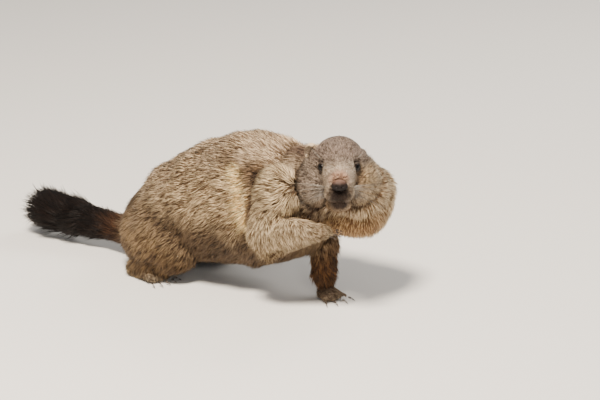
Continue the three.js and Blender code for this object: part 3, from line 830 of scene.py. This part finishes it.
def tuft_corners(tufts):
    side = unit(np.cross(tufts["tip"] - tufts["root"], tufts["normal"]))
    out = unit(np.cross(side, tufts["tip"] - tufts["root"]))
    half = tufts["width"][:, None] / 2
    mid = tufts["mid"]
    corners = [tufts["root"], mid + side * half, mid - side * half, mid + out * half * 0.8, tufts["tip"]]
    return np.stack(corners, axis=1)


def add_vector_attribute(mesh, name, kind, values):
    attribute = mesh.attributes.new(name, kind, "POINT")
    field = "color" if kind == "FLOAT_COLOR" else "vector"
    attribute.data.foreach_set(field, np.ascontiguousarray(values, dtype=np.float32).ravel())


def add_colours(mesh, pale, deep):
    for name, colours in (("pale", pale), ("deep", deep)):
        with_alpha = np.concatenate([colours, np.ones((len(colours), 1))], axis=1)
        add_vector_attribute(mesh, name, "FLOAT_COLOR", with_alpha)


def coat_piece(name, tufts, pale, deep, material):
    """One mesh of closed tufts, with the colours of the skin at their roots."""
    count = len(tufts["root"])
    corners = tuft_corners(tufts).reshape(-1, 3)
    per_tuft = len(TUFT_ALONG)
    offsets = np.arange(count)[:, None] * per_tuft
    loops = np.concatenate([offsets + np.array(face)[None, :] for face in TUFT_FACES], axis=1)
    sizes = np.tile([len(face) for face in TUFT_FACES], count)
    starts = np.concatenate([[0], np.cumsum(sizes)[:-1]])
    mesh = bpy.data.meshes.new(name)
    mesh.vertices.add(len(corners))
    mesh.vertices.foreach_set("co", corners.astype(np.float32).ravel())
    mesh.loops.add(loops.size)
    mesh.loops.foreach_set("vertex_index", loops.astype(np.int32).ravel())
    mesh.polygons.add(len(sizes))
    mesh.polygons.foreach_set("loop_start", starts.astype(np.int32))
    mesh.polygons.foreach_set("use_smooth", np.ones(len(sizes), bool))
    mesh.update(calc_edges=True)
    add_colours(mesh, np.repeat(pale, per_tuft, axis=0), np.repeat(deep, per_tuft, axis=0))
    strand = np.zeros((count, per_tuft, 3))
    strand[:, :, 0] = TUFT_ALONG
    strand[:, :, 1] = tufts["tone"][:, None]
    add_vector_attribute(mesh, "strand", "FLOAT_VECTOR", strand.reshape(-1, 3))
    patches = around_piece(tufts["root"])[:, None, :] + TUFT_PATCH[None, :, :]
    uv = mesh.uv_layers.new(name="OFBake")
    uv.uv.foreach_set("vector", patches.reshape(-1, 2)[loops.ravel()].astype(np.float32).ravel())
    mesh.validate()
    obj = bpy.data.objects.new(name, mesh)
    bpy.context.scene.collection.objects.link(obj)
    mesh.materials.append(material)
    return obj


# Materials


class Nodes:
    """A new material and short ways to add its nodes."""

    def __init__(self, name):
        self.material = bpy.data.materials.new(name)
        self.material.use_nodes = True
        self.tree = self.material.node_tree
        self.shader = self.tree.nodes["Principled BSDF"]

    def add(self, kind, **settings):
        node = self.tree.nodes.new(kind)
        for key, value in settings.items():
            setattr(node, key, value)
        return node

    def link(self, output, socket):
        self.tree.links.new(output, socket)

    def attribute(self, name, output="Color"):
        return self.add("ShaderNodeAttribute", attribute_name=name).outputs[output]

    def parts(self, name):
        """The three numbers of a vector attribute."""
        split = self.add("ShaderNodeSeparateXYZ")
        self.link(self.attribute(name, "Vector"), split.inputs[0])
        return split.outputs

    def noise(self, scale, detail):
        node = self.add("ShaderNodeTexNoise")
        node.inputs["Scale"].default_value = scale
        node.inputs["Detail"].default_value = detail
        self.link(self.add("ShaderNodeTexCoord").outputs["Object"], node.inputs["Vector"])
        return node.outputs["Fac"]

    def ramp(self, value, stops):
        node = self.add("ShaderNodeValToRGB")
        elements = node.color_ramp.elements
        while len(elements) < len(stops):
            elements.new(0.5)
        for element, (position, shade) in zip(elements, stops):
            element.position = position
            element.color = (*shade, 1) if isinstance(shade, tuple) else (shade, shade, shade, 1)
        self.link(value, node.inputs["Fac"])
        return node.outputs["Color"]

    def feed(self, socket, value):
        """Sets a socket to a number or a colour, or links it to another node's output."""
        if isinstance(value, (int, float)):
            socket.default_value = value
        elif isinstance(value, tuple):
            socket.default_value = (*value, 1)
        else:
            self.link(value, socket)

    def mix(self, share, first, second):
        node = self.add("ShaderNodeMix", data_type="RGBA", blend_type="MIX")
        for value, index in ((share, 0), (first, 6), (second, 7)):
            self.feed(node.inputs[index], value)
        return node.outputs[2]

    def math(self, operation, first, second=0.0):
        node = self.add("ShaderNodeMath", operation=operation)
        self.feed(node.inputs[0], first)
        self.feed(node.inputs[1], second)
        return node.outputs[0]

    def bump(self, height, strength, distance):
        node = self.add("ShaderNodeBump")
        node.inputs["Strength"].default_value = strength
        node.inputs["Distance"].default_value = distance
        self.link(height, node.inputs["Height"])
        self.link(node.outputs["Normal"], self.shader.inputs["Normal"])

    def finish(self, shade, roughness, specular=0.5):
        """Sets the base of the shader and gives the material back."""
        self.link(shade, self.shader.inputs["Base Color"])
        self.feed(self.shader.inputs["Roughness"], roughness)
        self.shader.inputs["Specular IOR Level"].default_value = specular
        return self.material


def coat_material():
    """Tufts, deep at the root and pale towards the tip, some paler than others."""
    nodes = Nodes("coat")
    along, tone, _ = nodes.parts("strand")
    rise = nodes.ramp(along, [(0.3, 0.0), (0.55, 0.5), (0.75, 1.0)])
    lift = nodes.ramp(tone, [(0.28, 0.0), (0.5, 0.55), (0.65, 1.0)])
    share = nodes.math("MULTIPLY", rise, lift)
    patchy = nodes.ramp(nodes.noise(140, 3), [(0.3, 0.8), (0.7, 1.0)])
    share = nodes.math("MULTIPLY", share, patchy)
    shade = nodes.mix(share, nodes.attribute("deep"), nodes.attribute("pale"))
    return nodes.finish(shade, 0.6, 0.25)


def skin_material():
    """Skin under the coat, with the coat's own colours, painted light and shade included, fine hair as bump
    and fine creases.
    """
    nodes = Nodes("skin")
    speckle = nodes.ramp(nodes.noise(900, 4), [(0.35, 0.05), (0.65, 0.55)])
    shade = nodes.mix(speckle, nodes.attribute("deep"), nodes.attribute("pale"))
    nodes.bump(nodes.noise(1400, 5), 0.5, 0.4 * MM)
    return nodes.finish(shade, 0.75, 0.3)


def moist_skin_material():
    """Slightly moist, pebbled skin of the nose, brown above and black round the nostrils."""
    nodes = Nodes("nose_skin")
    cells = nodes.add("ShaderNodeTexVoronoi")
    cells.inputs["Scale"].default_value = 1500
    nodes.link(nodes.add("ShaderNodeTexCoord").outputs["Object"], cells.inputs["Vector"])
    above = nodes.math("ADD", nodes.parts("nose_place")[1], nodes.math("MULTIPLY", nodes.noise(500, 4), 0.4))
    shade = nodes.ramp(nodes.math("MULTIPLY", above, 0.5), [
        (0.02, (0.006, 0.004, 0.0035)),
        (0.25, (0.013, 0.008, 0.0065)),
        (0.42, (0.06, 0.033, 0.024)),
        (0.6, (0.14, 0.078, 0.055)),
    ])
    rough = nodes.ramp(nodes.noise(300, 3), [(0.3, 0.45), (0.7, 0.65)])
    nodes.bump(cells.outputs["Distance"], 0.35, 0.25 * MM)
    return nodes.finish(shade, rough, 0.15)


def lid_material():
    """Brown skin of the lids, darker at the edge of the opening."""
    nodes = Nodes("lid_skin")
    speckle = nodes.ramp(nodes.noise(900, 4), [(0.3, (0.02, 0.014, 0.01)), (0.7, (0.06, 0.043, 0.03))])
    edge = nodes.ramp(nodes.parts("rim")[0], [(0.45, 0.0), (0.85, 1.0)])
    shade = nodes.mix(edge, speckle, (0.006, 0.004, 0.0035))
    nodes.bump(nodes.noise(1800, 4), 0.4, 0.2 * MM)
    return nodes.finish(shade, 0.55, 0.2)


def eye_material():
    """Dark brown iris round a black pupil, under a wet cornea; the eye looks along its own +Z."""
    nodes = Nodes("eye")
    across, up, _ = nodes.parts("eye_place")
    squares = nodes.math("ADD", nodes.math("POWER", across, 2.0), nodes.math("POWER", up, 2.0))
    spread = nodes.math("SQRT", squares)
    streaks = nodes.math("MULTIPLY", nodes.noise(900, 4), 0.1)
    iris = nodes.ramp(nodes.math("ADD", spread, streaks), [
        (0.42, (0.002, 0.002, 0.002)),
        (0.5, (0.01, 0.0055, 0.003)),
        (0.72, (0.007, 0.004, 0.0025)),
        (0.86, (0.002, 0.0015, 0.0015)),
    ])
    nodes.shader.inputs["Coat Weight"].default_value = 0.12
    nodes.shader.inputs["Coat Roughness"].default_value = 0.03
    return nodes.finish(iris, 0.1, 0.12)


def claw_material():
    """Dark horn, paler and streaked towards the root."""
    nodes = Nodes("claw")
    shade = nodes.ramp(nodes.noise(260, 5), [(0.3, (0.02, 0.014, 0.011)), (0.7, (0.085, 0.06, 0.045))])
    nodes.bump(nodes.noise(900, 3), 0.25, 0.15 * MM)
    return nodes.finish(shade, 0.36)


def whisker_material():
    nodes = Nodes("whisker")
    shade = nodes.ramp(nodes.noise(60, 2), [(0.35, (0.02, 0.015, 0.012)), (0.65, (0.3, 0.26, 0.21))])
    return nodes.finish(shade, 0.35)


# Assembly of the skin and the coat


def add_skin(fields):
    points, quads = skin_surface(fields)
    skin = mesh_object("skin", points.tolist(), quads.tolist())
    normals = np.empty(len(points) * 3, np.float32)
    skin.data.vertex_normals.foreach_get("vector", normals)
    normals = normals.reshape(-1, 3).astype(float)
    points = points.astype(float)
    weights = fields.weights(points)
    pale, deep = colours_and_painted_light(points, normals, fields.weights(points, MARKING_BLEND))
    add_colours(skin.data, pale, deep)
    skin.data.materials.append(skin_material())
    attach(skin, "root")
    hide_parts(*FLESH)
    return points, quads, normals, weights


SLOTS = {
    "trunk": "fur_buff",
    "neck": "fur_buff",
    "head": "fur_grey",
    "tail": "fur_dark",
    "right_foreleg": "fur_buff",
    "left_foreleg": "fur_brown",
    "hind_legs": "fur_foot",
}


def clear_of_eyes(points):
    """False for places on or close round the eyes, where no tuft grows."""
    keep = np.ones(len(points), bool)
    for eye in EYES.values():
        keep &= away_from(eye, points) > EYE_RADIUS + 1.6 * MM
    keep &= away_from(NOSE, points) > 9.5 * MM
    return keep


def add_coat(skin, fields):
    points, quads, normals, weights = skin
    rng = np.random.default_rng(SEED)
    density = weights @ table_of("density")
    roots, root_normals = roots_on_skin(points, quads, normals, density, COAT_TUFTS, rng)
    keep = clear_of_eyes(roots)
    roots, root_normals = roots[keep], root_normals[keep]
    root_weights = fields.weights(roots, MARKING_BLEND)
    pale, deep = colours_and_painted_light(roots, root_normals, root_weights)
    tufts = tuft_paths(roots, root_normals, fields, rng)
    region_names = [REGIONS[name][0] for name in FLESH]
    region = np.array(region_names)[root_weights.argmax(axis=1)]
    material = coat_material()
    for name in SLOTS:
        chosen = np.flatnonzero(region == name)
        order = chosen[np.argsort(roots[chosen, 0], kind="stable")]
        pieces = np.array_split(order, math.ceil(len(order) / PIECE_TUFTS))
        for number, part in enumerate(pieces, start=1):
            own = {key: values[part] for key, values in tufts.items()}
            piece = coat_piece(f"coat_{name}_{number}", own, pale[part], deep[part], material)
            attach(piece, "root")


# Eyes, lids, nose, claws and whiskers


def eye_direction(side):
    return head_direction(0.72, 0.67 if side == "left" else -0.67, 0.16)


def axes_matrix(centre, facing):
    """Turns local +Z to the facing direction and moves to the centre."""
    turn = facing.to_track_quat("Z", "Y").to_matrix().to_4x4()
    return Matrix.Translation(centre) @ turn


def ball_faces(rings, steps):
    """The faces of a ball whose corners go round it, ring after ring."""
    faces = []
    for i in range(rings):
        for j in range(steps):
            ahead = (j + 1) % steps
            faces.append((i * steps + j, (i + 1) * steps + j, (i + 1) * steps + ahead, i * steps + ahead))
    return faces


def add_eye(side, material):
    """An eyeball with a slightly bulging cornea."""
    rings, steps = 24, 32
    points = []
    for i in range(rings + 1):
        polar = math.pi * i / rings
        bulge = 1 + 0.05 * math.exp(-((polar / 0.55) ** 4))
        for j in range(steps):
            turn = 2 * math.pi * j / steps
            flat = math.sin(polar) * bulge
            points.append((flat * math.cos(turn), flat * math.sin(turn), math.cos(polar) * bulge))
    matrix = axes_matrix(EYES[side], eye_direction(side))
    placed = [tuple(matrix @ (Vector(p) * EYE_RADIUS)) for p in points]
    eye = mesh_object(f"eyeball_{side}", placed, ball_faces(rings, steps))
    add_vector_attribute(eye.data, "eye_place", "FLOAT_VECTOR", points)
    weld(eye)
    eye.data.materials.append(material)
    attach(eye, "root")
    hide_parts(f"eye_{side}")


def weld(obj, distance=1e-6):
    """Joins corners that lie on one another, such as a sphere's poles."""
    shape = bmesh.new()
    shape.from_mesh(obj.data)
    bmesh.ops.remove_doubles(shape, verts=shape.verts, dist=distance)
    bmesh.ops.recalc_face_normals(shape, faces=shape.faces)
    shape.to_mesh(obj.data)
    shape.free()


LID_WIDTH = 2.1 * MM
LID_THICKNESS = 0.75 * MM


def add_lids(side, material):
    """Lids over the eyeball round an almond-shaped opening, dark and bare at its edge."""
    steps, around = 40, 12
    matrix = axes_matrix(EYES[side], eye_direction(side))
    points, rims = [], []
    for i in range(steps):
        turn = 2 * math.pi * i / steps
        polar = math.radians(27 + 16 * abs(math.cos(turn)) ** 1.6) + LID_WIDTH / EYE_RADIUS
        ball = Vector((math.sin(polar) * math.cos(turn), math.sin(polar) * math.sin(turn), math.cos(polar)))
        tangent = Vector((-math.sin(turn), math.cos(turn), 0))
        inward = ball.cross(tangent).normalized()
        for j in range(around):
            angle = 2 * math.pi * j / around
            offset = ball * math.cos(angle) * LID_THICKNESS + inward * math.sin(angle) * LID_WIDTH
            points.append(tuple(matrix @ (ball * EYE_RADIUS + offset)))
            rims.append((max(math.sin(angle), 0), 0, 0))
    faces = []
    for i in range(steps):
        for j in range(around):
            ahead, over = (i + 1) % steps, (j + 1) % around
            faces.append((i * around + j, ahead * around + j, ahead * around + over, i * around + over))
    lids = mesh_object(f"lids_{side}", points, faces)
    add_vector_attribute(lids.data, "rim", "FLOAT_VECTOR", rims)
    weld(lids)
    lids.data.materials.append(material)
    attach(lids, "root")


# Half the nose pad's width, height and depth, in millimetres, and how much higher it is above its middle
NOSE_WIDE = 9.8
NOSE_HIGH = 7
NOSE_DEEP = 6.2
NOSE_CROWN = 0.9


def add_nose(material):
    """A leathery pad with two slanted nostrils and a groove between them."""
    rings, steps = 40, 56
    matrix = axes_matrix(NOSE, HEAD_FORWARD)
    across_axis = matrix.to_3x3().inverted() @ HEAD_LEFT
    up_axis = matrix.to_3x3().inverted() @ HEAD_UP
    points, places = [], []
    for i in range(rings + 1):
        polar = math.pi * i / rings
        for j in range(steps):
            turn = 2 * math.pi * j / steps
            flat = math.sin(polar)
            local = Vector((flat * math.cos(turn), flat * math.sin(turn), math.cos(polar)))
            left = local.dot(across_axis)
            up = local.dot(up_axis)
            ahead = local.z
            places.append((left, up, ahead))
            shape = across_axis * left * NOSE_WIDE + up_axis * up * (NOSE_HIGH + NOSE_CROWN * up)
            shape += Vector((0, 0, 1)) * ahead * NOSE_DEEP
            wing = math.exp(-(((abs(left) - 0.72) / 0.22) ** 2) - ((up + 0.02) / 0.42) ** 2)
            shape *= 1 + 0.07 * wing
            from_hole = (abs(left) - 0.46 - 0.18 * up) / 0.17
            hole = math.exp(-(from_hole ** 2) - ((up + 0.02) / 0.24) ** 2)
            groove = math.exp(-((left / 0.07) ** 2)) * max(0.2 - up, 0)
            if ahead > 0:
                shape *= 1 - 0.34 * hole - 0.1 * groove
            points.append(tuple(matrix @ (shape * MM)))
    nose = mesh_object("nose_pad", points, ball_faces(rings, steps))
    add_vector_attribute(nose.data, "nose_place", "FLOAT_VECTOR", places)
    weld(nose)
    nose.data.materials.append(material)
    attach(nose, "root")
    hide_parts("nose")


def finish_claws(material):
    """The claws keep their solids, rounded."""
    for name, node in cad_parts.items():
        if "claw" in name:
            node.data.materials.clear()
            node.data.materials.append(material)
            rounding = node.modifiers.new("rounding", "SUBSURF")
            rounding.levels = 2
            rounding.render_levels = 2


def whisker(points, faces, root, direction, bend, length, radius):
    """Adds one closed tapered hair to the lists."""
    steps, around = 8, 5
    first = len(points)
    side = direction.cross(bend).normalized()
    for i in range(steps):
        t = i / (steps - 1)
        centre = root + direction * length * t + bend * length * 0.35 * t * t
        thick = radius * (1 - 0.9 * t)
        heading = (direction + bend * 0.7 * t).normalized()
        over = heading.cross(side)
        for j in range(around):
            angle = 2 * math.pi * j / around
            points.append(tuple(centre + (side * math.cos(angle) + over * math.sin(angle)) * thick))
    for i in range(steps - 1):
        for j in range(around):
            a = first + i * around + j
            b = first + i * around + (j + 1) % around
            faces.append((a, b, b + around, a + around))
    faces.append(tuple(first + j for j in reversed(range(around))))
    faces.append(tuple(first + (steps - 1) * around + j for j in range(around)))


def add_whiskers(material):
    """Rows of whiskers on the two pads, and a few over each eye."""
    rng = np.random.default_rng(SEED + 1)
    points, faces = [], []
    for side in (-1, 1):
        for row in range(4):
            for i in range(5):
                root = from_head(34 - i * 3.2, side * (13.5 + i * 1.4), -19 - row * 3.3)
                direction = head_direction(0.25 - i * 0.12, side, 0.12 - row * 0.17 + rng.normal(0, 0.05))
                bend = head_direction(-0.9, side * 0.1, -0.45)
                length = (22 + i * 6 + rng.uniform(-3, 3)) * MM
                whisker(points, faces, root, direction, bend, length, 0.26 * MM)
        for i in range(3):
            root = from_head(3 - i * 3, side * (20 + i * 1.5), 9.5)
            direction = head_direction(-0.1, side * 0.7, 0.7 + i * 0.1)
            whisker(points, faces, root, direction, head_direction(-1, 0, -0.2), 20 * MM, 0.22 * MM)
    hairs = mesh_object("whiskers", points, faces)
    weld(hairs)
    hairs.data.materials.append(material)
    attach(hairs, "root")


add_camera()
add_surroundings()
fields = Fields()
skin = add_skin(fields)
add_coat(skin, fields)
eye = eye_material()
lid = lid_material()
for side in EYES:
    add_eye(side, eye)
    add_lids(side, lid)
add_nose(moist_skin_material())
finish_claws(claw_material())
add_whiskers(whisker_material())
